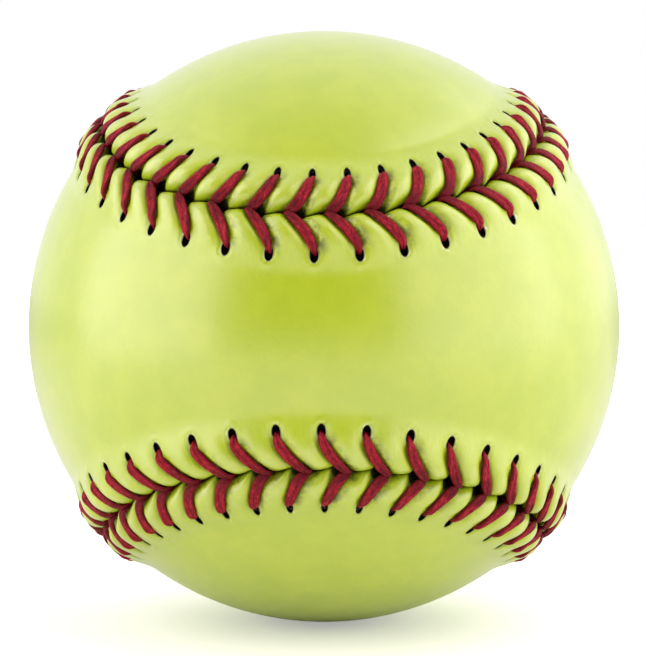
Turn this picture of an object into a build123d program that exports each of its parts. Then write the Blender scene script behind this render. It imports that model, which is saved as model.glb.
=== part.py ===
from build123d import *
import math
import os

# Driving dimensions, in millimetres unless the name says otherwise
ball_circumference = 304.8
leather_thickness = 1.4
cement_thickness = 0.3
winding_thickness = 3.0
bond_line = 0.05

# Shape of the seam: how far the panels are waisted, and how square their lobes are
seam_waist = 0.315
seam_squareness = -0.0154

# Waxed thread, flat over the cover and drawn narrow in the holes and at the seam
thread_width = 1.9
thread_thickness = 0.9
neck_width = 1.0
neck_thickness = 0.55
thread_clearance = 0.12

# Stitching: two threads take turns, so each panel has an even number of lacing holes
stitch_pairs = 46
first_hole = 2.45
hole_row = 6.25
hole_length = 2.4
hole_clearance = 0.15
front_slant = 4.4
rear_slant = 2.3
front_bend = 1.5
rear_bend = 1.7
rear_stagger = -0.5

# Raised lip of each panel: fingers of leather stand up between the beds of the stitches
finger_width = 1.3
finger_gap = 0.15
finger_edge_height = 0.7
finger_crest_height = 1.9
finger_near_height = 1.6
finger_far_height = 0.72
bed_gap = 1.3
bed_edge_height = 0.45
bed_crest_height = 0.62
bed_near_height = 0.52
bed_far_height = 0.25
lip_crest = 2.7
lip_toe = 1.55
lip_root = 0.95

# Sizes that follow from those above
ball_radius = ball_circumference / (2 * math.pi)
leather_inside = ball_radius - leather_thickness
cement_radius = leather_inside - bond_line
winding_radius = cement_radius - cement_thickness - bond_line
core_radius = winding_radius - winding_thickness - bond_line
stitch_count = 2 * stitch_pairs
hole_width = neck_width + 2 * hole_clearance
hole_near = hole_row - hole_length / 2
hole_far = hole_row + hole_length / 2
under_height = thread_clearance + neck_thickness / 2 - leather_thickness
lip_underside = under_height + neck_thickness / 2 + thread_clearance

# A lip has two points on each bed and two on each finger
points_per_stitch = 4

# The two panels, and which way each lies from the seam
FRONT, REAR = -1, 1
SLANT = {FRONT: front_slant, REAR: rear_slant}
STAGGER = {FRONT: 0.0, REAR: rear_stagger}


def seam_direction(turn):
    """Direction from the ball's centre to the seam: one closed curve with four lobes."""
    wide = 1 - seam_waist
    x = wide * math.cos(turn) + seam_waist * math.cos(3 * turn) + seam_squareness * math.cos(5 * turn)
    y = wide * math.sin(turn) - seam_waist * math.sin(3 * turn) + seam_squareness * math.sin(5 * turn)
    z = 2 * math.sqrt(wide * seam_waist) * math.sin(2 * turn)
    return Vector((y - x) / math.sqrt(2), -z, (x + y) / math.sqrt(2)).normalized()


def measure_seam(steps=2000):
    """Turns along the seam, with the length of seam that lies before each of them."""
    turns = [2 * math.pi * step / steps for step in range(steps + 1)]
    points = [seam_direction(turn) * ball_radius for turn in turns]
    lengths = [0.0]
    for near, far in zip(points, points[1:]):
        lengths.append(lengths[-1] + (far - near).length)
    return turns, lengths


seam_turns, seam_lengths = measure_seam()
seam_length = seam_lengths[-1]
stitch_pitch = seam_length / stitch_count


def turn_at(along):
    """Turn at which a length of seam has been passed."""
    rest = along % seam_length
    low, high = 0, len(seam_lengths) - 1
    while high - low > 1:
        middle = (low + high) // 2
        if seam_lengths[middle] <= rest:
            low = middle
        else:
            high = middle
    share = (rest - seam_lengths[low]) / (seam_lengths[high] - seam_lengths[low])
    return seam_turns[low] + share * (seam_turns[high] - seam_turns[low])


def on_ball(along, across, height):
    """Point at a length along the seam, a distance across it (+ to the rear panel) and a height."""
    turn = turn_at(along)
    small = 1e-4
    point = seam_direction(turn)
    tangent = (seam_direction(turn + small) - seam_direction(turn - small)).normalized()
    to_rear = point.cross(tangent)
    angle = across / ball_radius
    return (point * math.cos(angle) + to_rear * math.sin(angle)) * (ball_radius + height)


def hole_along(side, stitch):
    """Length along the seam of one lacing hole."""
    return first_hole + stitch * stitch_pitch + STAGGER[side]


def arm_along(side, stitch, across):
    """Length along the seam of one stitch's line, which bends from the seam to its hole."""
    share = min(across / hole_near, 1)
    behind = (1 - share) ** front_bend if side == FRONT else 1 - share**rear_bend
    return hole_along(side, stitch) - SLANT[side] * behind


def arm_point(side, stitch, across, height):
    """Point over one stitch's line."""
    return on_ball(arm_along(side, stitch, across), side * across, height)


def closed_pairs(items):
    """Each item with the one after it, and the last with the first."""
    return zip(items, items[1:] + items[:1])


def ring_points(side, bed, finger):
    """Points round a lip, two on each stitch bed and two on each finger; both (across, height)."""
    lean = math.atan2(SLANT[side], hole_near)
    bed_half = hole_width / 2 / math.cos(lean) / stitch_pitch
    finger_half = finger_width / 2 / stitch_pitch
    points = []
    for stitch in range(stitch_count):
        points.append(arm_point(side, stitch - bed_half, *bed))
        points.append(arm_point(side, stitch + bed_half, *bed))
        points.append(arm_point(side, stitch + 0.5 - finger_half, *finger))
        points.append(arm_point(side, stitch + 0.5 + finger_half, *finger))
    return points


def level_ring(side, across, height):
    """Points round a lip at one distance from the seam and one height."""
    return ring_points(side, (across, height), (across, height))


def line_edges(points):
    """Straight edges round a ring of points."""
    return [Edge.make_line(near, far) for near, far in closed_pairs(points)]


def arc_edges(points):
    """Arcs round a ring of points, on the sphere that they lie on."""
    edges = []
    for near, far in closed_pairs(points):
        middle = (near + far).normalized() * near.length
        edges.append(Edge.make_three_point_arc(near, middle, far))
    return edges


def strip(near_edges, far_edges, holes=False):
    """Faces between two rings of edges, left out on the stitch beds where there are holes."""
    faces = []
    for index, (near, far) in enumerate(zip(near_edges, far_edges)):
        on_bed = index % points_per_stitch == 0
        if not (holes and on_bed):
            faces.append(Face.make_surface_from_curves(near, far))
    return faces


def hole_walls(top_near, top_far, low_near, low_far):
    """Four walls round each lacing hole, between the rings above and below it."""
    faces = []
    for start in range(0, points_per_stitch * stitch_count, points_per_stitch):
        end = start + 1
        top = [top_near[start], top_near[end], top_far[end], top_far[start]]
        low = [low_near[start], low_near[end], low_far[end], low_far[start]]
        for upper, lower in zip(line_edges(top), line_edges(low)):
            faces.append(Face.make_surface_from_curves(upper, lower))
    return faces


def dome(side, radius, rim_edges):
    """Smooth middle of a panel: the part of a sphere inside the rim."""
    # The sphere's poles and its own seam line lie under the other panel.
    pole = (0, 0, 1) if side == FRONT else (1, 0, 0)
    sphere = Plane((0, 0, 0), x_dir=(0, -side, 0), z_dir=pole) * Solid.make_sphere(radius)
    parts = sphere.face().split_by_perimeter(Wire(rim_edges), Keep.BOTH)
    return max(parts, key=lambda part: side * part.center().Y)


def cover_panel(side):
    """Leather panel: a smooth middle, a raised lip of fingers and beds, and the lacing holes."""
    bed_edge, finger_edge = (bed_gap, bed_edge_height), (finger_gap, finger_edge_height)
    edge = ring_points(side, bed_edge, finger_edge)
    crest = ring_points(side, (lip_crest, bed_crest_height), (lip_crest, finger_crest_height))
    near = ring_points(side, (hole_near, bed_near_height), (hole_near, finger_near_height))
    far = ring_points(side, (hole_far, bed_far_height), (hole_far, finger_far_height))
    far_low = level_ring(side, hole_far, lip_underside)
    near_low = level_ring(side, hole_near, lip_underside)
    edge_low = ring_points(side, (bed_gap, lip_underside), (finger_gap, lip_underside))
    toe_edges = arc_edges(level_ring(side, hole_far + lip_toe, 0))
    root_edges = arc_edges(level_ring(side, hole_far + lip_root, -leather_thickness))

    faces = [dome(side, ball_radius, toe_edges), dome(side, leather_inside, root_edges)]
    faces += strip(toe_edges, line_edges(far))
    faces += strip(line_edges(far), line_edges(near), holes=True)
    faces += strip(line_edges(near), line_edges(crest))
    faces += strip(line_edges(crest), line_edges(edge))
    faces += strip(line_edges(edge), line_edges(edge_low))
    faces += strip(line_edges(edge_low), line_edges(near_low))
    faces += strip(line_edges(near_low), line_edges(far_low), holes=True)
    faces += strip(line_edges(far_low), root_edges)
    faces += hole_walls(near, far, near_low, far_low)
    return Solid(Shell(faces))


def run_across(side, start, end):
    """Direction of the thread's width on a run from the seam to a hole of one panel."""
    return (start.cross(end - start) * side).normalized()


def stitch_stations(side, stitch):
    """One stitch, over one panel and back under the other, as (point, width direction, w, t)."""
    other, next_stitch = -side, stitch - 1
    half_neck = neck_thickness / 2 + thread_clearance
    lift = thread_thickness / 2 + thread_clearance
    neck_across = hole_near + half_neck
    flat = (thread_width, thread_thickness)
    neck = (neck_width, neck_thickness)

    base = arm_point(side, stitch, 0, 0)
    next_hole = arm_point(other, next_stitch, neck_across, 0)
    over = run_across(side, base, arm_point(side, stitch, neck_across, 0))
    under = run_across(other, base, next_hole)
    turning = (over + under).normalized()

    def over_point(across, height):
        return arm_point(side, stitch, across, height)

    def under_point(across, height):
        start = arm_along(side, stitch, 0)
        end = arm_along(other, next_stitch, neck_across)
        return on_ball(start + (end - start) * across / neck_across, other * across, height)

    return [
        (over_point(neck_across, bed_near_height + half_neck), over, *neck),
        (over_point(hole_near - half_neck, bed_near_height + lift), over, *flat),
        (over_point(lip_crest, bed_crest_height + lift), over, *flat),
        (over_point(bed_gap + half_neck, bed_edge_height + lift), over, *flat),
        (over_point(bed_gap - half_neck, bed_edge_height + half_neck / 2), turning, *neck),
        (under_point(half_neck, under_height), under, *neck),
        (under_point(neck_across, under_height + thread_clearance), under, *neck),
    ]


def thread_section(point, along, across, width, thickness):
    """Straight edges of the thread's lens-like section, square to its run."""
    along = along.normalized()
    across = (across - along * across.dot(along)).normalized()
    up = along.cross(across)
    half_width, half_thickness = width / 2, thickness / 2
    outline = ((half_width, 0), (0, half_thickness), (-half_width, 0), (0, -half_thickness))
    return line_edges([point + across * x + up * y for x, y in outline])


def thread(first_side):
    """One needle's thread, sewn all the way round the seam and back to its own start."""
    stations = []
    side = first_side
    for step in range(stitch_count):
        stations += stitch_stations(side, -step)
        side = -side
    sections = []
    for index, (point, across, width, thickness) in enumerate(stations):
        before = stations[index - 1][0]
        after = stations[(index + 1) % len(stations)][0]
        sections.append(thread_section(point, after - before, across, width, thickness))
    faces = []
    for near, far in closed_pairs(sections):
        faces += strip(near, far)
    return Solid(Shell(faces))


def hollow_ball(outside, inside):
    """Layer of the ball between two radii."""
    return Solid.make_sphere(outside) - Solid.make_sphere(inside)


nodes = {
    "cork_core": Solid.make_sphere(core_radius),
    "yarn_winding": hollow_ball(winding_radius, core_radius + bond_line),
    "cement_coat": hollow_ball(cement_radius, winding_radius + bond_line),
    "front_cover_panel": cover_panel(FRONT),
    "rear_cover_panel": cover_panel(REAR),
    "first_thread": thread(FRONT),
    "second_thread": thread(REAR),
}
os.makedirs("parts", exist_ok=True)
for name, solid in nodes.items():
    print(name, solid.is_valid, round(solid.volume, 2))
    export_step(solid, f"parts/{name}.step", write_pcurves=False)
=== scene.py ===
import math

import bpy
import numpy as np
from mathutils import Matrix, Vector
from mathutils.geometry import delaunay_2d_cdt


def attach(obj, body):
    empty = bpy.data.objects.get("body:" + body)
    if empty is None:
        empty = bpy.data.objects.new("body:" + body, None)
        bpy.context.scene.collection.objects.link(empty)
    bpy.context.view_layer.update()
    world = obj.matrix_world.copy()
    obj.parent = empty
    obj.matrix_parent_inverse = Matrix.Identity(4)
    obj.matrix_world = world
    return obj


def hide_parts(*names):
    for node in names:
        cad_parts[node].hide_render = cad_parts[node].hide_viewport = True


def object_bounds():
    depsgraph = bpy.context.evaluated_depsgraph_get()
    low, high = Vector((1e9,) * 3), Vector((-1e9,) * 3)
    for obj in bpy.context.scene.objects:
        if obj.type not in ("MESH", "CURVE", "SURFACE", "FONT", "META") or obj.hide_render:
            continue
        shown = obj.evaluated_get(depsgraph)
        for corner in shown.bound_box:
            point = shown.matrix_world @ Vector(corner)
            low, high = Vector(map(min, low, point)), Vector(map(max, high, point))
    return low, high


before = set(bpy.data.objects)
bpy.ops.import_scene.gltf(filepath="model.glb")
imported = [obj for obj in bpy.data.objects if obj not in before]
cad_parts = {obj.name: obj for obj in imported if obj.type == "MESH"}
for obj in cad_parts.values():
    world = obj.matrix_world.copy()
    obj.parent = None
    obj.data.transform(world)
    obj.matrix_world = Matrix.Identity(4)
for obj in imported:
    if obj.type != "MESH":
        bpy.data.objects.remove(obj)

cad_low, cad_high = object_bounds()

# The ball's sizes are in millimetres; finished meshes, floor, lamps and camera are in metres
MM = 0.001
ball_radius = (cad_high.z - cad_low.z) / 2 / MM
leather_thickness = 1.4

# Shape of the seam, as in the solids
seam_waist = 0.315
seam_squareness = -0.0154

# Stitching, with the solids' count and hole row: each stitch leans forward from the seam to its hole
stitch_count = 92
first_tip = -1.95
hole_row = 6.25
hole_length = 2.1
hole_width = 1.05
front_lean = 4.4
rear_lean = 3.95
rear_fan = 1.2
arm_reach = 5.95
front_bend = 1.65
rear_bend = 1.3
front_hook = 0.1
rear_hook = 0.35
hook_reach = 0.45

# Waxed thread: two strands side by side. Its twist is in radians; the depth of the groove between the
# strands is a share of half the thickness, and the groove's width and wander are shares of half the width
thread_width = 1.68
front_width_share = 0.95
thread_twist_angle = 0.52
thread_thickness = 0.95
neck_width = 0.9
neck_thickness = 0.6
neck_depth = 0.5
under_gap = 0.12
groove_depth = 0.42
groove_width = 0.3
groove_wander = 0.16
groove_wave = 7.3

# Raised lip: fingers of leather stand up between the beds of the stitches
seam_gap = 0.08
bed_setback = 1.5
lip_crest = 2.7
lip_toe = 10.2
lip_slope_power = 0.92
finger_height = 2.05
finger_breadth_power = 2.4
finger_shoulder_power = 0.8
finger_end = 0.8
bed_share = 0.5
bed_half_width = 0.72
nose_low = -0.35
lip_underside = -0.61
lip_root = 8.4
pocket_before = 1.0
pocket_after = 2.9
seam_wave_size = 0.36
seam_wave_reach = 2.4
seam_wave_turn = 0.42

# Lacing holes: an oval outline with a rolled rim
hole_oval_power = 2.6
hole_end_share = 0.97
hole_calm_near = 0.1
hole_calm_far = 1.0
rim_roll_height = 0.1
rim_roll_place = 0.3
rim_roll_width = 0.22
rim_drop = 0.16

# Fineness of the meshes
columns_per_stitch = 20
hole_half_columns = 2.5
nose_rows = 10
bed_rows = 7
hole_rows = 9
toe_rows = 9
dome_point_spacing = 1.9
section_points = 22
section_steps = 4
seam_steps = 4000
dome_seam_steps = 1500

# Rings of points inside the lip's toe: distance from the toe, and how many columns apart. Past a gap
# after the last ring, points are spread evenly
DOME_RINGS = ((0.4, 2), (1.1, 4), (2.4, 8))
dome_gap = 0.8 * dome_point_spacing
dome_start = lip_toe + DOME_RINGS[-1][0] + dome_gap

# The two panels, and which way each lies from the seam
FRONT, REAR = -1, 1
LEAN = {FRONT: front_lean, REAR: rear_lean}
FAN = {FRONT: 0.0, REAR: rear_fan}
BEND = {FRONT: front_bend, REAR: rear_bend}
HOOK = {FRONT: front_hook, REAR: rear_hook}
hole_near = hole_row - hole_length / 2
hole_far = hole_row + hole_length / 2


def unit(vectors):
    """Vectors at length one."""
    return vectors / np.linalg.norm(vectors, axis=-1, keepdims=True)


def ease(low, high, value):
    """0 below low, 1 above high, and a smooth step between them."""
    share = np.clip((value - low) / (high - low), 0, 1)
    return share * share * (3 - 2 * share)


def hump(value):
    """1 at 0, falling to nothing on both sides like a bell."""
    return np.exp(-(value**2))


# The seam and the places beside it


def seam_direction(turn):
    """Direction from the ball's centre to the seam: one closed curve with four lobes."""
    wide = 1 - seam_waist
    x = wide * np.cos(turn) + seam_waist * np.cos(3 * turn) + seam_squareness * np.cos(5 * turn)
    y = wide * np.sin(turn) - seam_waist * np.sin(3 * turn) + seam_squareness * np.sin(5 * turn)
    z = 2 * math.sqrt(wide * seam_waist) * np.sin(2 * turn)
    return unit(np.stack([(y - x) / math.sqrt(2), -z, (x + y) / math.sqrt(2)], axis=-1))


def measure_seam():
    """Turns along the seam, with the length of seam that lies before each of them."""
    turns = np.linspace(0, 2 * math.pi, seam_steps + 1)
    spans = np.linalg.norm(np.diff(seam_direction(turns) * ball_radius, axis=0), axis=1)
    return turns, np.concatenate([[0.0], np.cumsum(spans)])


seam_turns, seam_lengths = measure_seam()
seam_length = seam_lengths[-1]
stitch_pitch = seam_length / stitch_count


def on_ball(along, across, height):
    """Points at a length along the seam, a distance across it (+ to the rear panel) and a height."""
    small = 1e-4
    along, across, height = np.broadcast_arrays(along, across, height)
    turn = np.interp(along % seam_length, seam_lengths, seam_turns)
    point = seam_direction(turn)
    tangent = unit(seam_direction(turn + small) - seam_direction(turn - small))
    to_rear = np.cross(point, tangent)
    angle = (across / ball_radius)[..., None]
    return (point * np.cos(angle) + to_rear * np.sin(angle)) * (ball_radius + height)[..., None]


def arm_progress(side, across):
    """How far a stitch's curved line has gone from its tip at the seam to its hole, from 0 to 1."""
    share = np.clip(across / arm_reach, 0, 1)
    hook = HOOK[side] * np.exp(-np.maximum(across, 0) / hook_reach)
    return 1 - (1 - HOOK[side]) * (1 - share) ** BEND[side] - hook


def stitch_along(side, stitch, across):
    """Length along the seam of a stitch's line, at a distance from it; rear stitches fan over a lobe."""
    tip = first_tip + stitch * stitch_pitch
    lobe = 4 * math.pi * (tip / seam_length - 1 / 8)
    return tip + (LEAN[side] + FAN[side] * np.sin(lobe)) * arm_progress(side, across)


def arm_slope(side, across):
    """How far a stitch's line runs along the seam for each millimetre across it."""
    small = 0.05
    change = arm_progress(side, across + small) - arm_progress(side, across - small)
    return LEAN[side] * change / (2 * small)


def stitch_lean(side, across):
    """Cosine of the angle between a stitch's line and the straight way across, with a least value."""
    least = 0.62
    return np.maximum(1 / np.sqrt(1 + arm_slope(side, across) ** 2), least)


def seam_wave(along):
    """How far the line where the panels meet swings to the rear panel, between stitches."""
    phase = ((along - first_tip) / stitch_pitch) % 1
    falling = phase / seam_wave_turn
    rising = 1 + (phase - seam_wave_turn) / (1 - seam_wave_turn)
    return seam_wave_size * np.cos(math.pi * np.where(phase < seam_wave_turn, falling, rising))


def seam_heading(along):
    """How far the seam runs towards +X, from -1 to 1."""
    small = 0.1
    return (on_ball(along + small, 0, 0) - on_ball(along - small, 0, 0))[..., 0] / (2 * small)


# Mesh helpers


def make_piece(name, points, faces, values, material, node):
    """Mesh in place of a solid, with a number per point for each name in values."""
    mesh = bpy.data.meshes.new(name)
    mesh.from_pydata((points * MM).tolist(), [], faces)
    for key, numbers in values.items():
        layer = mesh.attributes.new(key, "FLOAT", "POINT")
        layer.data.foreach_set("value", np.ascontiguousarray(numbers, np.float32))
    mesh.materials.append(material)
    mesh.shade_smooth()
    piece = bpy.data.objects.new(name, mesh)
    bpy.context.scene.collection.objects.link(piece)
    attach(piece, "root")
    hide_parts(node)


def ring_faces(near, far, flip=False):
    """Four-sided faces between two closed rings of point numbers."""
    faces = np.stack([near, np.roll(near, -1), np.roll(far, -1), far], axis=1)
    return faces[:, ::-1] if flip else faces


# Leather panels


def bed_rise(side, phase, across):
    """0 on the bed of a stitch, rising like a pillow to 1 along the middle of a finger."""
    lean = stitch_lean(side, across)
    beside = np.abs(phase) * stitch_pitch * lean
    share = np.clip((beside - bed_half_width) / (stitch_pitch / 2 * lean - bed_half_width), 0, 1)
    pillow = (1 - (1 - share) ** finger_breadth_power) ** finger_shoulder_power
    merged = ease(hole_near, hole_far + finger_end, across)
    return pillow + (1 - pillow) * merged


def finger_tip(phase):
    """Distance from the seam to the rounded end of a finger, or of a bed between two fingers."""
    beside = np.abs(phase) * stitch_pitch
    pocket = np.where(phase > 0, pocket_after, pocket_before)
    share = np.clip(beside / pocket, 0, 1) ** 2
    return seam_gap + bed_setback * (1 - np.sqrt(1 - (1 - share) ** 2))


def lip_profile(across):
    """Height of a finger's crest, from the lip's top down to the smooth cover."""
    share = np.clip((across - lip_crest) / (lip_toe - lip_crest), 0, 1)
    return finger_height * (0.5 + 0.5 * np.cos(math.pi * share**lip_slope_power))


def column_phases():
    """Places of the mesh columns in one stitch, as shares of the pitch from the stitch's line."""
    return (np.arange(columns_per_stitch) + 0.5) / columns_per_stitch - 0.5


def hole_columns():
    """First and last mesh column at the rim of a lacing hole, counted within its stitch."""
    before = columns_per_stitch // 2 - 1
    spread = int(hole_half_columns - 0.5)
    return before - spread, before + spread + 1


def hole_shape(across):
    """Width of a lacing hole at a distance from the seam, as a share of its full width."""
    reach = np.minimum(np.abs(across - hole_row) / (hole_length / 2), hole_end_share)
    return (1 - reach**hole_oval_power) ** (1 / hole_oval_power)


def drawn_to_hole(phase, across):
    """Phases with the columns beside a lacing hole drawn in to its oval outline."""
    tiny = 1e-9
    edge = hole_half_columns / columns_per_stitch
    beyond = 2 * edge
    target = hole_width / 2 / stitch_pitch * hole_shape(across)
    size = np.abs(phase)
    inner = size / edge * target
    outer = target + (size - edge) / (beyond - edge) * (beyond - target)
    drawn = np.where(size <= edge + tiny, inner, np.where(size < beyond, outer, size))
    past_end = np.abs(across - hole_row) - hole_length / 2
    near_hole = 1 - ease(hole_calm_near, hole_calm_far, past_end)
    return np.sign(phase) * (size + (drawn - size) * near_hole)


def hole_distance(phase, across):
    """About how far a place lies outside the rim of its lacing hole."""
    wide = phase * stitch_pitch / (hole_width / 2)
    long = (across - hole_row) / (hole_length / 2)
    return (np.sqrt(wide**2 + long**2) - 1) * hole_width / 2


def rim_relief(rim):
    """Height of the rolled rim of a lacing hole, at a distance from the hole's edge."""
    roll = rim_roll_height * hump((rim - rim_roll_place) / rim_roll_width)
    return roll - rim_drop * (1 - ease(0, rim_roll_width, rim))


def place_rows(side, stitch, phase, across, height):
    """Points of a panel's rows, with the seam's swing, and their length along the seam."""
    along = stitch_along(side, stitch + phase, across)
    swing = seam_wave(along) * hump(across / seam_wave_reach)
    return on_ball(along, side * across + swing, height), along


def outside_rows(side, phase):
    """Distances and heights of the rows on a panel's outside, from its edge to the lip's toe."""
    tip = finger_tip(phase)
    angles = np.linspace(0, math.pi / 2, nose_rows)
    nose = tip + (lip_crest - tip) * (1 - np.cos(angles))[:, None]
    beds = np.linspace(lip_crest, hole_near, bed_rows)[1:-1]
    holes = np.linspace(hole_near, hole_far, hole_rows)
    toe = np.linspace(hole_far, lip_toe, toe_rows)[1:]
    flat = np.concatenate([beds, holes, toe])[:, None] + 0 * phase
    across = np.concatenate([nose, flat])
    peak = lip_profile(across) * (bed_share + (1 - bed_share) * bed_rise(side, phase, across))
    rounding = np.concatenate([np.sin(angles), np.ones(len(flat))])[:, None]
    return across, nose_low + (peak - nose_low) * rounding


def inside_rows(side, phase):
    """Distances and heights of the rows on a panel's inside, edge to toe, alike on both sides."""
    holes = np.linspace(hole_near, hole_far, hole_rows)
    across = np.concatenate([[seam_gap, lip_crest], holes, [lip_root, lip_toe]])[:, None] + 0 * phase
    level = np.full(len(across), lip_underside)
    level[-2:] = -leather_thickness
    return across, level[:, None] + 0 * across


def panel_grid(side, rows):
    """Every point of a ring of rows: its place, and the numbers that the leather's look needs."""
    stitch = np.repeat(np.arange(stitch_count), columns_per_stitch)
    phase = np.tile(column_phases(), stitch_count)
    across, height = rows(side, phase)
    drawn = drawn_to_hole(phase, across)
    rim = hole_distance(drawn, across)
    height = height + rim_relief(rim) * (height > lip_underside)
    points, along = place_rows(side, stitch, drawn, across, height)
    beside = np.abs(drawn) * stitch_pitch * stitch_lean(side, across)
    after = np.sin(2 * math.pi * drawn) * seam_heading(along)
    values = {"across": across, "along": along, "beside": beside, "after": after, "rim": rim,
              "height": height}
    return points, values


def grid_faces(numbers, first_hole_row, flip):
    """Faces of a ring of rows, without those in the lacing holes."""
    left, right = hole_columns()
    in_stitch = np.arange(numbers.shape[1]) % columns_per_stitch
    open_columns = (in_stitch >= left) & (in_stitch < right)
    faces = []
    for row in range(len(numbers) - 1):
        strip = ring_faces(numbers[row], numbers[row + 1], flip)
        if first_hole_row <= row < first_hole_row + hole_rows - 1:
            strip = strip[~open_columns]
        faces.append(strip)
    return np.concatenate(faces)


def hole_rings(numbers, first_hole_row):
    """Point numbers round each lacing hole, one ring for each stitch."""
    left, right = hole_columns()
    rows = slice(first_hole_row, first_hole_row + hole_rows)
    rings = []
    for stitch in range(stitch_count):
        start = stitch * columns_per_stitch
        block = numbers[rows, start + left:start + right + 1]
        rings.append(np.concatenate([block[0, :-1], block[:-1, -1], block[-1, :0:-1], block[:0:-1, 0]]))
    return rings


def dome_points(side, height):
    """Points that fill a panel's smooth middle, closer together towards the lip."""
    phase = (np.arange(stitch_count)[:, None] + column_phases()[None, :]).ravel()
    points, across = [], []
    for from_toe, step in DOME_RINGS:
        distance = np.full(len(phase[::step]), lip_toe + from_toe)
        along = stitch_along(side, phase[::step], distance)
        points.append(on_ball(along, side * distance, height))
        across.append(distance)
    spread, distance = even_points(side)
    points.append(spread * (ball_radius + height))
    across.append(distance)
    return np.concatenate(points), np.concatenate(across)


def even_points(side):
    """Directions spread evenly over a panel's middle, and their distances from the seam."""
    small = 1e-4
    golden_turn = math.pi * (3 - math.sqrt(5))
    count = int(4 * math.pi * ball_radius**2 / dome_point_spacing**2)
    number = np.arange(count) + 0.5
    level = 1 - 2 * number / count
    turn = number * golden_turn
    round_level = np.sqrt(1 - level**2)
    spread = np.stack([round_level * np.cos(turn), level, round_level * np.sin(turn)], axis=1)
    turns = np.linspace(0, 2 * math.pi, dome_seam_steps, endpoint=False)
    seam = seam_direction(turns)
    to_rear = np.cross(seam, seam_direction(turns + small) - seam)
    near = np.argmax(spread @ seam.T, axis=1)
    distance = np.arccos(np.clip(np.sum(spread * seam[near], axis=1), -1, 1)) * ball_radius
    on_side = np.sign(np.sum(spread * to_rear[near], axis=1)) == side
    kept = on_side & (distance > dome_start)
    return spread[kept], distance[kept]


def fill_dome(side, points, rim_count):
    """Triangles over a panel's middle; the first points are its rim."""
    inside_rim, tolerance = 1, 1e-7
    flat = unit(points)
    plane = np.stack([flat[:, 0], flat[:, 2]], axis=1) / (1 + side * flat[:, 1])[:, None]
    places = [Vector(place) for place in plane.tolist()]
    rim = [list(range(rim_count))]
    _, _, triangles, sources, _, _ = delaunay_2d_cdt(places, [], rim, inside_rim, tolerance)
    faces = np.array([[sources[corner][0] for corner in triangle] for triangle in triangles])
    corners = points[faces]
    normals = np.cross(corners[:, 1] - corners[:, 0], corners[:, 2] - corners[:, 0])
    inward = np.sum(normals * corners[:, 0], axis=1) < 0
    faces[inward] = faces[inward][:, ::-1]
    return faces


def panel_skin(side, rows, height, first_hole_row, outside):
    """One face of a panel, lip and middle: points, values, grid numbers, and faces."""
    grid, values = panel_grid(side, rows)
    numbers = np.arange(grid.shape[0] * grid.shape[1]).reshape(grid.shape[:2])
    middle, distance = dome_points(side, height)
    rim = numbers[-1]
    dome = fill_dome(side, np.concatenate([grid[-1], middle]), len(rim))
    source = np.concatenate([rim, numbers.size + np.arange(len(middle))])
    dome = source[dome]
    if not outside:
        dome = dome[:, ::-1]
    faces = grid_faces(numbers, first_hole_row, (side == FRONT) == outside)
    points = np.concatenate([grid.reshape(-1, 3), middle])
    none = 0 * distance
    filler = {"across": distance, "along": none, "beside": none + stitch_pitch / 2, "after": none,
              "rim": none + stitch_pitch, "height": none + height}
    values = {key: np.concatenate([values[key].ravel(), filler[key]]) for key in values}
    return points, values, numbers, faces.tolist() + dome.tolist()


def leather_panel(side, name, node, material):
    """Cover panel: outside and inside skins, joined at the seam and round every lacing hole."""
    first_top = nose_rows + bed_rows - 2
    first_low = 2
    top, top_values, top_numbers, top_faces = panel_skin(
        side, outside_rows, height=0.0, first_hole_row=first_top, outside=True)
    low, low_values, low_numbers, low_faces = panel_skin(
        side, inside_rows, height=-leather_thickness, first_hole_row=first_low, outside=False)
    shift = len(top)
    faces = top_faces + [[number + shift for number in face] for face in low_faces]
    walls = [ring_faces(low_numbers[0] + shift, top_numbers[0], side == FRONT)]
    low_rings = hole_rings(low_numbers + shift, first_low)
    for upper, lower in zip(hole_rings(top_numbers, first_top), low_rings):
        walls.append(ring_faces(upper, lower, side == REAR))
    faces += np.concatenate(walls).tolist()
    values = {key: np.concatenate([top_values[key], low_values[key]]) for key in top_values}
    # Painted shade: the inside skin is marked here, and the leather's look makes it near black.
    values["hollow"] = np.concatenate([np.zeros(len(top)), np.ones(len(low))])
    make_piece(name, np.concatenate([top, low]), faces, values, material, node)


# Threads

# Stations of a stitch from its hole to the bed's middle: distance from the seam, shares of the bed's
# height and of half the thread's thickness that make up its height, shares of its width and thickness
HOLE_STATIONS = (
    (hole_near + 0.5, 0.5, 0.0, 0.62, 0.75),
    (hole_near - 0.1, 0.7, 1.0, 0.86, 1.0),
    (3.7, 0.92, 1.0, 1.0, 1.0),
    (2.4, 1.0, 1.0, 1.0, 1.0),
)

# Its stations from there to the seam, in the same order
SEAM_STATIONS = {
    FRONT: ((1.3, 1.0, 1.0, 0.95, 1.0), (0.65, 1.0, 0.8, 0.78, 0.85), (0.2, 1.0, 0.3, 0.50, 0.65)),
    REAR: ((1.3, 1.0, 0.9, 1.02, 1.0), (0.7, 1.0, 0.6, 0.98, 0.9), (0.3, 1.0, 0.0, 0.80, 0.75)),
}

# Its end in the seam: distance, height, and shares of the thread's width and thickness
SEAM_END = {FRONT: (-0.1, -0.45, 0.33, 0.6), REAR: (0.1, -0.5, 0.45, 0.6)}

# Where a thread goes through a hole, and its stations on the way to it under the other panel
through_hole = hole_near + 0.6
UNDER_SHARES = (0.12, 0.5, 0.88)


def arm_twist(side, across):
    """Turn of a thread about its own line: one way at the seam and the other way at the hole."""
    share = min(max(across, 0) / hole_near, 1)
    return -side * thread_twist_angle * (1 - 2 * share)


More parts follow.
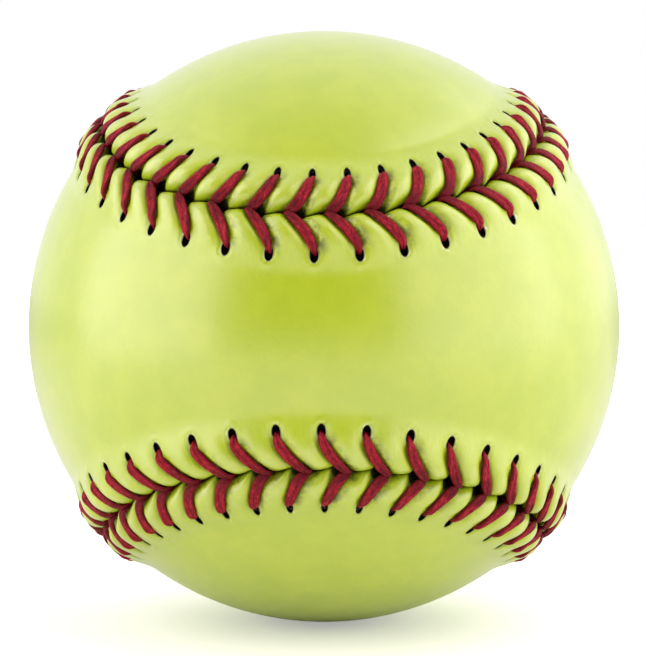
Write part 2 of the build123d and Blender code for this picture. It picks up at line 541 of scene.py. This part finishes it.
def arm_stations(side, stitch):
    """One stitch over a panel, hole to seam: (along, across, height, width, thickness, twist)."""
    bed = bed_share * finger_height
    half = thread_thickness / 2
    wide = thread_width * (front_width_share if side == FRONT else 1.0)
    sections = [(through_hole, -neck_depth, neck_width, neck_thickness)]
    for across, bed_part, thread_part, width, thickness in HOLE_STATIONS + SEAM_STATIONS[side]:
        height = bed_part * bed + thread_part * half
        sections.append((across, height, width * wide, thickness * thread_thickness))
    across, height, width, thickness = SEAM_END[side]
    sections.append((across, height, width * wide, thickness * thread_thickness))
    return [(stitch_along(side, stitch, across), side * across, *section, arm_twist(side, across))
            for across, *section in sections]


def under_stations(side, stitch):
    """The same stitch's way under the other panel, from the seam to the next hole."""
    other, next_stitch = -side, stitch - 1
    level = lip_underside - under_gap - neck_thickness / 2
    start = stitch_along(side, stitch, 0)
    end = stitch_along(other, next_stitch, through_hole)
    stations = []
    for share in UNDER_SHARES:
        along = start + (end - start) * share
        stations.append((along, other * share * through_hole, level, neck_width, neck_thickness, 0.0))
    return stations


def thread_path(first_side):
    """Stations of one needle's thread, all the way round the seam, and the panel that each is at."""
    stations, sides = [], []
    side = first_side
    for step in range(stitch_count):
        over, under = arm_stations(side, -step), under_stations(side, -step)
        stations += over + under
        sides += [side] * len(over) + [-side] * len(under)
        side = -side
    return np.array(stations), np.array(sides)


def width_directions(along, across, sides):
    """Direction of the thread's width at each station, level with the ball."""
    small = 0.05
    here = on_ball(along, across, 0)
    from_seam = np.abs(across)
    slope = np.where(sides == FRONT, arm_slope(FRONT, from_seam), arm_slope(REAR, from_seam))
    ahead = on_ball(along + slope * small, across + sides * small, 0)
    return unit(np.cross(here, ahead - here)) * sides[:, None]


def smooth_loop(rows, places, samples):
    """Rows of numbers blended along a closed smooth line through places."""
    spans = np.linalg.norm(np.roll(places, -1, 0) - places, axis=1)[:, None]
    slopes = (np.roll(rows, -1, 0) - rows) / spans
    before = np.roll(spans, 1, 0)
    tangents = (slopes * before + np.roll(slopes, 1, 0) * spans) / (spans + before)
    share = (np.arange(samples) / samples)[None, :, None]
    start, end = rows[:, None], np.roll(rows, -1, 0)[:, None]
    out, back = (tangents * spans)[:, None], (np.roll(tangents, -1, 0) * spans)[:, None]
    blended = (
        start * (2 * share**3 - 3 * share**2 + 1) + out * (share**3 - 2 * share**2 + share)
        + end * (3 * share**2 - 2 * share**3) + back * (share**3 - share**2)
    )
    return blended.reshape(-1, rows.shape[1])


def thread_line(first_side):
    """A thread's smooth centre line: places, directions of its width, width, thickness, twist, reach."""
    stations, sides = thread_path(first_side)
    along, across, height = stations[:, :3].T
    places = on_ball(along, across, height)
    sections = stations[:, 3:]
    reach = np.abs(across)[:, None]
    rows = np.concatenate([places, width_directions(along, across, sides), sections, reach], axis=1)
    column_ends = [3, 6, 7, 8, 9]
    return np.split(smooth_loop(rows, places, section_steps), column_ends, axis=1)


def twisted_frame(centre, width_way, twist):
    """Directions of a thread's width and thickness along its centre line."""
    forward = unit(np.roll(centre, -1, 0) - np.roll(centre, 1, 0))
    across = unit(width_way - forward * np.sum(width_way * forward, axis=1)[:, None])
    up = np.cross(forward, across)
    turned_across = across * np.cos(twist) + up * np.sin(twist)
    turned_up = up * np.cos(twist) - across * np.sin(twist)
    return turned_across, turned_up


def lacing_thread(first_side, name, node, material):
    """One needle's thread: two flattened strands swept along its whole way round the ball."""
    centre, width_way, width, thickness, twist, reach = thread_line(first_side)
    across, up = twisted_frame(centre, width_way, twist)
    spans = np.linalg.norm(np.roll(centre, -1, 0) - centre, axis=1)
    travelled = np.cumsum(spans) - spans

    angle = 2 * math.pi * np.arange(section_points) / section_points
    wide, high = np.cos(angle)[None, :], np.sin(angle)[None, :]
    middle = groove_wander * np.sin(2 * math.pi * travelled / groove_wave)[:, None]
    groove = hump((wide - middle) / groove_width)
    x = wide * width / 2
    y = high * thickness / 2 * (1 - groove_depth * groove)
    points = centre[:, None] + across[:, None] * x[..., None] + up[:, None] * y[..., None]

    numbers = np.arange(points.shape[0] * section_points).reshape(points.shape[:2])
    faces = []
    for near, far in zip(numbers, np.roll(numbers, -1, 0)):
        faces += ring_faces(near, far).tolist()
    values = {
        "fibre_along": (travelled[:, None] + 0 * x).ravel(),
        "fibre_across": x.ravel(),
        "fibre_up": y.ravel(),
        "groove": (groove * np.abs(high)).ravel(),
        "edge": (np.abs(wide) + 0 * x).ravel(),
        "reach": (reach + 0 * x).ravel(),
    }
    make_piece(name, points.reshape(-1, 3), faces, values, material, node)


# Material helpers


def new_material(name):
    """Material with its shader tree and its surface shader."""
    material = bpy.data.materials.new(name)
    material.use_nodes = True
    tree = material.node_tree
    shader = tree.nodes["Principled BSDF"]
    return material, tree, shader


def set_inputs(tree, node, inputs):
    """Each input of a shader node, either linked or set."""
    for key, value in inputs.items():
        if isinstance(value, bpy.types.NodeSocket):
            tree.links.new(value, node.inputs[key])
        else:
            node.inputs[key].default_value = value


def add(tree, kind, inputs=None, **settings):
    """New shader node with its inputs and settings."""
    made = tree.nodes.new(kind)
    for key, value in settings.items():
        setattr(made, key, value)
    set_inputs(tree, made, inputs or {})
    return made


def maths(tree, operation, first, second=0.0):
    """Result of one sum on two numbers."""
    return add(tree, "ShaderNodeMath", {0: first, 1: second}, operation=operation).outputs[0]


def product(tree, first, *factors):
    """All the factors multiplied."""
    result = first
    for factor in factors:
        result = maths(tree, "MULTIPLY", result, factor)
    return result


def blend(tree, share, first, second):
    """Mix of two colours."""
    made = add(tree, "ShaderNodeMix", {0: share, 6: first, 7: second}, data_type="RGBA")
    return made.outputs[2]


def ramp(tree, value, low, high):
    """0 below low and 1 above high, with a smooth step between them."""
    made = add(tree, "ShaderNodeMapRange", {"Value": value, "From Min": low, "From Max": high},
               interpolation_type="SMOOTHSTEP")
    return made.outputs["Result"]


def fade(tree, value, low, high):
    """1 below low and 0 above high, with a smooth step between them."""
    return maths(tree, "SUBTRACT", 1.0, ramp(tree, value, low, high))


def between(tree, share, low, high):
    """A number from low to high, for a share from 0 to 1."""
    made = add(tree, "ShaderNodeMapRange", {"Value": share, "To Min": low, "To Max": high})
    return made.outputs["Result"]


def attribute(tree, name):
    """Number that the mesh carries at each point."""
    return add(tree, "ShaderNodeAttribute", attribute_name=name).outputs["Fac"]


def attributes(tree, *names):
    """Several of those numbers."""
    return [attribute(tree, name) for name in names]


def millimetres(tree):
    """Place on the object, in millimetres."""
    place = add(tree, "ShaderNodeTexCoord").outputs["Object"]
    return add(tree, "ShaderNodeVectorMath", {0: place, "Scale": 1 / MM}, operation="SCALE").outputs[0]


def stretched(tree, *sizes):
    """Place made of up to three numbers, each with its own scale."""
    axes = {number: product(tree, value, scale) for number, (value, scale) in enumerate(sizes)}
    return add(tree, "ShaderNodeCombineXYZ", axes).outputs[0]


def noise(tree, place, scale, detail=3.0, roughness=0.5):
    """Soft noise between 0 and 1, with about so many patches in a millimetre."""
    inputs = {"Vector": place, "Scale": scale, "Detail": detail, "Roughness": roughness}
    return add(tree, "ShaderNodeTexNoise", inputs).outputs[0]


def bump(tree, height, depth, strength=1.0, normal=None):
    """Surface raised by a height from 0 to 1, so many millimetres deep."""
    inputs = {"Height": height, "Distance": depth * MM, "Strength": strength}
    if normal is not None:
        inputs["Normal"] = normal
    return add(tree, "ShaderNodeBump", inputs).outputs[0]


# Look of the leather


def leather_dirt_and_shade(tree, place, on_lip):
    """Darkening beside the stitches, partly soiling and partly painted shade: a thin line along each
    stitch, and smudges beside the middle ones.
    """
    grime_and_shade_strength = 0.45
    beside, after = attributes(tree, "beside", "after")
    behind_stitch = ramp(tree, after, low=0.05, high=0.45)
    near_stitch = fade(tree, beside, low=1.0, high=2.4)
    patches = ramp(tree, noise(tree, place, scale=0.45, detail=5.0, roughness=0.75), low=0.40, high=0.60)
    sideways = maths(tree, "ABSOLUTE", add(tree, "ShaderNodeSeparateXYZ", {0: place}).outputs["X"])
    # The smudges fade out towards the sides, from 8 to 30 mm off the plane X = 0.
    near_middle = fade(tree, sideways, low=8.0, high=30.0)
    # Smudges on the +X side of each stitch: partly soiling, partly painted shade.
    smudge_and_shade = product(tree, behind_stitch, near_stitch, on_lip, patches, near_middle)
    # Thin line along each stitch's edge on the lip: soiling and painted shade.
    grime_and_shade_line = product(tree, fade(tree, beside, low=0.9, high=1.3), on_lip, grime_and_shade_strength)
    return maths(tree, "MAXIMUM", smudge_and_shade, grime_and_shade_line)


def leather_colour(tree, place, on_lip):
    """Mottled lime; soiling and painted shade by the stitches; painted highlight on crests; pale rim
    chips; painted shade in pockets and holes.
    """
    lime, deep_lime = (0.53, 0.67, 0.016, 1), (0.48, 0.63, 0.011, 1)
    pale = (0.82, 0.84, 0.42, 1)
    # Dark olive for soiling and painted shade beside the stitches; near black for painted shade in the
    # pockets and holes.
    dirt_and_shade_colour = (0.050, 0.068, 0.012, 1)
    pocket_shade_colour = (0.016, 0.020, 0.005, 1)
    hole_shade_colour = (0.004, 0.004, 0.002, 1)
    dirt_and_shade_strength, crest_highlight_strength, pocket_shade_strength = 0.75, 0.15, 0.9
    across, rim, height, hollow = attributes(tree, "across", "rim", "height", "hollow")

    mottle = noise(tree, place, scale=0.16, detail=4.0, roughness=0.6)
    colour = blend(tree, ramp(tree, mottle, low=0.35, high=0.68), deep_lime, lime)
    # Soiling and painted shade beside the stitches.
    dirt_and_shade = leather_dirt_and_shade(tree, place, on_lip)
    colour = blend(tree, product(tree, dirt_and_shade, dirt_and_shade_strength), colour, dirt_and_shade_colour)

    # Painted highlight: pale patches on the raised crests of the fingers.
    partial_share = ramp(tree, noise(tree, place, scale=0.5), low=0.35, high=0.65)
    crest_highlight = product(tree, ramp(tree, height, low=1.1, high=2.0), partial_share, crest_highlight_strength)
    colour = blend(tree, crest_highlight, colour, pale)
    chips = ramp(tree, noise(tree, place, scale=0.8, detail=3.0, roughness=0.6), low=0.58, high=0.66)
    ring = product(tree, ramp(tree, rim, low=0.05, high=0.15), fade(tree, rim, low=0.2, high=0.4))
    colour = blend(tree, product(tree, ring, chips), colour, pale)

    # Painted shade: low leather near the seam, in the pockets between the fingers, goes dark olive.
    sunk = fade(tree, height, low=-0.3, high=0.55)
    pocket = product(tree, sunk, fade(tree, across, low=1.2, high=3.0), pocket_shade_strength)
    colour = blend(tree, pocket, colour, pocket_shade_colour)
    # Painted shade: the rims of the lacing holes and the whole inside skin go near black.
    dark = maths(tree, "MAXIMUM", fade(tree, rim, low=0.02, high=0.14), hollow)
    return blend(tree, dark, colour, hole_shade_colour)


def leather_relief(tree, place):
    """Shallow dents, creases on the lip, grain and pores."""
    across, along = attributes(tree, "across", "along")
    dents = noise(tree, place, scale=0.09, detail=2.0, roughness=0.5)
    crease_place = stretched(tree, (along, 1.5), (across, 0.45))
    creases = noise(tree, crease_place, scale=1.0, detail=4.0, roughness=0.65)
    creases = product(tree, creases, fade(tree, across, low=6.0, high=9.8))
    grain = add(tree, "ShaderNodeTexVoronoi", {"Vector": place, "Scale": 1.5}, feature="SMOOTH_F1")
    pores = noise(tree, place, scale=4.5, detail=3.0, roughness=0.6)
    normal = bump(tree, dents, depth=0.2)
    normal = bump(tree, creases, depth=0.12, normal=normal)
    normal = bump(tree, grain.outputs["Distance"], depth=0.022, normal=normal)
    return bump(tree, pores, depth=0.018, normal=normal)


def leather_coat(tree, on_lip):
    """Weight of the glossy finish, which is worn off beside the stitches."""
    rubbed_strength = 0.8
    near_stitch = fade(tree, attribute(tree, "beside"), low=1.0, high=2.2)
    partial_share = product(tree, near_stitch, on_lip, rubbed_strength)
    return maths(tree, "SUBTRACT", 1.0, partial_share)


def leather_roughness(tree, place):
    """Roughness of the leather under its finish, a little uneven."""
    patches = noise(tree, place, scale=0.7, detail=4.0, roughness=0.6)
    inputs = {"Value": patches, "From Min": 0.3, "From Max": 0.7, "To Min": 0.30, "To Max": 0.36}
    return add(tree, "ShaderNodeMapRange", inputs).outputs["Result"]


def leather_material():
    """Optic yellow leather with a glossy finish."""
    material, tree, shader = new_material("optic_yellow_leather")
    place = millimetres(tree)
    on_lip = fade(tree, attribute(tree, "across"), low=4.6, high=7.0)
    set_inputs(tree, shader, {
        "Base Color": leather_colour(tree, place, on_lip),
        "Normal": leather_relief(tree, place),
        "Roughness": leather_roughness(tree, place),
        "IOR": 1.5,
        "Specular IOR Level": 0.5,
        "Coat Weight": leather_coat(tree, on_lip),
        "Coat Roughness": 0.28,
        "Coat IOR": 1.8,
    })
    return material


# Look of the thread


def thread_colour(tree, place, streaks):
    """Crimson streaks with painted shade in the groove, at the sides and at the seam, soiled patches, and
    pale specks of wax.
    """
    crimson, deep_crimson = (0.43, 0.011, 0.028, 1), (0.20, 0.005, 0.014, 1)
    # Dark red serves both the painted shade and the soiled patches.
    dark_red = (0.050, 0.002, 0.004, 1)
    rose = (0.66, 0.060, 0.072, 1)
    wax = (0.72, 0.34, 0.36, 1)
    side_shade_strength, seam_shade_strength, soil_strength = 0.6, 0.58, 0.45
    groove_shade_strength, wax_strength = 0.35, 0.6
    groove, edge, reach = attributes(tree, "groove", "edge", "reach")

    colour = blend(tree, ramp(tree, streaks, low=0.38, high=0.54), deep_crimson, crimson)
    colour = blend(tree, ramp(tree, streaks, low=0.54, high=0.72), colour, rose)
    # Painted shade: darker at the thread's sides and towards its seam end.
    sides = product(tree, ramp(tree, edge, low=0.6, high=1.0), side_shade_strength)
    seam_shade = product(tree, fade(tree, reach, low=0.4, high=2.8), seam_shade_strength)
    colour = blend(tree, maths(tree, "MAXIMUM", sides, seam_shade), colour, dark_red)
    soiled = ramp(tree, noise(tree, place, scale=0.45, detail=3.0, roughness=0.6), low=0.48, high=0.72)
    colour = blend(tree, product(tree, soiled, soil_strength), colour, dark_red)
    # Painted shade in the groove between the two strands.
    colour = blend(tree, product(tree, groove, groove_shade_strength), colour, dark_red)
    specks = ramp(tree, noise(tree, place, scale=2.2, detail=4.0, roughness=0.7), low=0.73, high=0.80)
    return blend(tree, product(tree, specks, wax_strength), colour, wax)


def thread_material():
    """Waxed crimson thread, streaked along its fibres."""
    material, tree, shader = new_material("waxed_crimson_thread")
    place = millimetres(tree)
    along, across, up = attributes(tree, "fibre_along", "fibre_across", "fibre_up")
    fibres = stretched(tree, (along, 1.7), (across, 4.2), (up, 4.2))
    streaks = noise(tree, fibres, scale=1.0, detail=5.0, roughness=0.65)
    set_inputs(tree, shader, {
        "Base Color": thread_colour(tree, place, streaks),
        "Normal": bump(tree, streaks, depth=0.12),
        "Roughness": 0.6,
        "IOR": 1.46,
        "Specular IOR Level": 0.2,
    })
    return material


# Look of the layers inside


def cork_material():
    """Moulded cork and rubber: pale and dark granules."""
    light, dark = (0.50, 0.33, 0.18, 1), (0.16, 0.085, 0.04, 1)
    material, tree, shader = new_material("granular_cork")
    place = millimetres(tree)
    cells = add(tree, "ShaderNodeTexVoronoi", {"Vector": place, "Scale": 0.55})
    tone = add(tree, "ShaderNodeSeparateColor", {0: cells.outputs["Color"]}).outputs[0]
    grain = bump(tree, noise(tree, place, scale=1.8, detail=5.0, roughness=0.65), depth=0.1)
    set_inputs(tree, shader, {
        "Base Color": blend(tree, ramp(tree, tone, low=0.1, high=0.8), dark, light),
        "Normal": bump(tree, cells.outputs["Distance"], depth=0.15, strength=0.6, normal=grain),
        "Roughness": 0.8,
    })
    return material


def yarn_material():
    """Twisted yarn: pale strands with darker lines between them."""
    light, dark = (0.80, 0.77, 0.68, 1), (0.42, 0.38, 0.30, 1)
    material, tree, shader = new_material("wound_yarn")
    place = millimetres(tree)
    waves = {"Vector": place, "Scale": 0.45, "Distortion": 5.0, "Detail": 3.0, "Detail Scale": 0.4}
    strands = add(tree, "ShaderNodeTexWave", waves).outputs["Fac"]
    fuzz = bump(tree, noise(tree, place, scale=5.0, detail=4.0, roughness=0.7), depth=0.1)
    set_inputs(tree, shader, {
        "Base Color": blend(tree, ramp(tree, strands, low=0.1, high=0.6), dark, light),
        "Normal": bump(tree, strands, depth=0.5, strength=0.8, normal=fuzz),
        "Roughness": 0.9,
        "Sheen Weight": 0.3,
    })
    return material


def cement_material():
    """Dried rubber cement: a thin dark skin, brushed on unevenly."""
    light, dark = (0.040, 0.028, 0.016, 1), (0.014, 0.010, 0.006, 1)
    material, tree, shader = new_material("dried_rubber_cement")
    pools = noise(tree, millimetres(tree), scale=0.3, detail=4.0, roughness=0.6)
    set_inputs(tree, shader, {
        "Base Color": blend(tree, ramp(tree, pools, low=0.35, high=0.65), dark, light),
        "Normal": bump(tree, pools, depth=0.3),
        "Roughness": 0.7,
        "Specular IOR Level": 0.2,
    })
    return material


def dress_node(node, material):
    """A solid that stays as it is gets its own finish."""
    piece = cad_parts[node]
    piece.data.materials.clear()
    piece.data.materials.append(material)


# Stage, light and camera


def pale_floor():
    """Wide pale floor under the ball, white to the camera and shaded under the ball."""
    half_size, level = 6.0, cad_low.z
    glow_under, glow_away = 0.35, 1.0
    shade_near, shade_far = 1.5 * ball_radius * MM, 8 * ball_radius * MM
    white, pale = (1, 1, 1, 1), (0.92, 0.92, 0.92, 1)
    mesh = bpy.data.meshes.new("floor")
    corners = [(-half_size, -half_size, level), (half_size, -half_size, level),
               (half_size, half_size, level), (-half_size, half_size, level)]
    mesh.from_pydata(corners, [], [(0, 1, 2, 3)])
    material, tree, shader = new_material("pale_floor")
    path = add(tree, "ShaderNodeLightPath")
    place = add(tree, "ShaderNodeTexCoord").outputs["Object"]
    away = add(tree, "ShaderNodeVectorMath", {0: place}, operation="LENGTH").outputs["Value"]
    glow = between(tree, ramp(tree, away, shade_near, shade_far), glow_under, glow_away)
    set_inputs(tree, shader, {
        "Base Color": pale,
        "Roughness": 0.9,
        "Specular IOR Level": 0.1,
        "Emission Color": white,
        "Emission Strength": product(tree, path.outputs["Is Camera Ray"], glow),
    })
    mesh.materials.append(material)
    floor = bpy.data.objects.new("floor", mesh)
    bpy.context.scene.collection.objects.link(floor)


def studio_world():
    """White to the camera; for the ball, a dim room in front of it and a white wall behind it."""
    room_light, wall_light, camera_light = 0.06, 1.0, 1.0
    white = (1, 1, 1, 1)
    world = bpy.data.worlds.new("studio")
    bpy.context.scene.world = world
    world.use_nodes = True
    tree = world.node_tree
    tree.nodes.clear()
    path = add(tree, "ShaderNodeLightPath")
    direction = add(tree, "ShaderNodeTexCoord").outputs["Generated"]
    behind = add(tree, "ShaderNodeSeparateXYZ", {0: direction}).outputs["Y"]
    lit = between(tree, ramp(tree, behind, low=-0.9, high=0.6), room_light, wall_light)
    strength = add(tree, "ShaderNodeMix", {0: path.outputs["Is Camera Ray"], 2: lit, 3: camera_light})
    background = add(tree, "ShaderNodeBackground", {"Color": white, "Strength": strength.outputs[0]})
    output = add(tree, "ShaderNodeOutputWorld", {"Surface": background.outputs[0]})
    output.is_active_output = True


def softbox(name, place, width, height, power):
    """Large soft lamp that faces the ball."""
    tint = (1.0, 0.90, 0.95)
    lamp = bpy.data.lights.new(name, "AREA")
    lamp.shape = "RECTANGLE"
    lamp.size = width
    lamp.size_y = height
    lamp.energy = power
    lamp.color = tint
    made = bpy.data.objects.new(name, lamp)
    made.location = place
    made.rotation_euler = (-Vector(place)).to_track_quat("-Z", "Y").to_euler()
    made.visible_camera = False
    bpy.context.scene.collection.objects.link(made)


def photo_camera():
    """Camera at the photograph's angle, with the ball as large and where it is there."""
    image_height = 656
    image_centre = (323.0, 328.0)
    ball_centre = (324.0, 326.4)
    ball_outline = 295.5
    distance = 0.385
    azimuth, elevation = math.radians(1.1), math.radians(3.0)
    sensor = 36.0
    camera = bpy.data.cameras.new("camera")
    camera.sensor_width = sensor
    outline_angle = math.asin(ball_radius * MM / distance)
    camera.lens = ball_outline / math.tan(outline_angle) / image_height * sensor
    camera.shift_x = (image_centre[0] - ball_centre[0]) / image_height
    camera.shift_y = (ball_centre[1] - image_centre[1]) / image_height
    camera.clip_start = 0.01
    made = bpy.data.objects.new("camera", camera)
    back = Vector((math.sin(azimuth) * math.cos(elevation), -math.cos(azimuth) * math.cos(elevation),
                   math.sin(elevation)))
    made.location = back * distance
    made.rotation_euler = (-back).to_track_quat("-Z", "Y").to_euler()
    bpy.context.scene.collection.objects.link(made)
    bpy.context.scene.camera = made


bpy.context.scene.view_settings.view_transform = "Standard"

leather = leather_material()
leather_panel(FRONT, "front_panel_leather", "front_cover_panel", leather)
leather_panel(REAR, "rear_panel_leather", "rear_cover_panel", leather)
thread = thread_material()
lacing_thread(FRONT, "first_lacing", "first_thread", thread)
lacing_thread(REAR, "second_lacing", "second_thread", thread)
dress_node("cork_core", cork_material())
dress_node("yarn_winding", yarn_material())
dress_node("cement_coat", cement_material())

pale_floor()
studio_world()
softbox("left_softbox", place=(-0.39, -0.16, 0.08), width=0.5, height=0.9, power=2.7)
softbox("right_softbox", place=(0.38, -0.19, 0.14), width=0.6, height=1.0, power=2.95)
softbox("back_softbox", place=(0.40, 0.16, 0.10), width=0.45, height=0.8, power=0.6)
photo_camera()
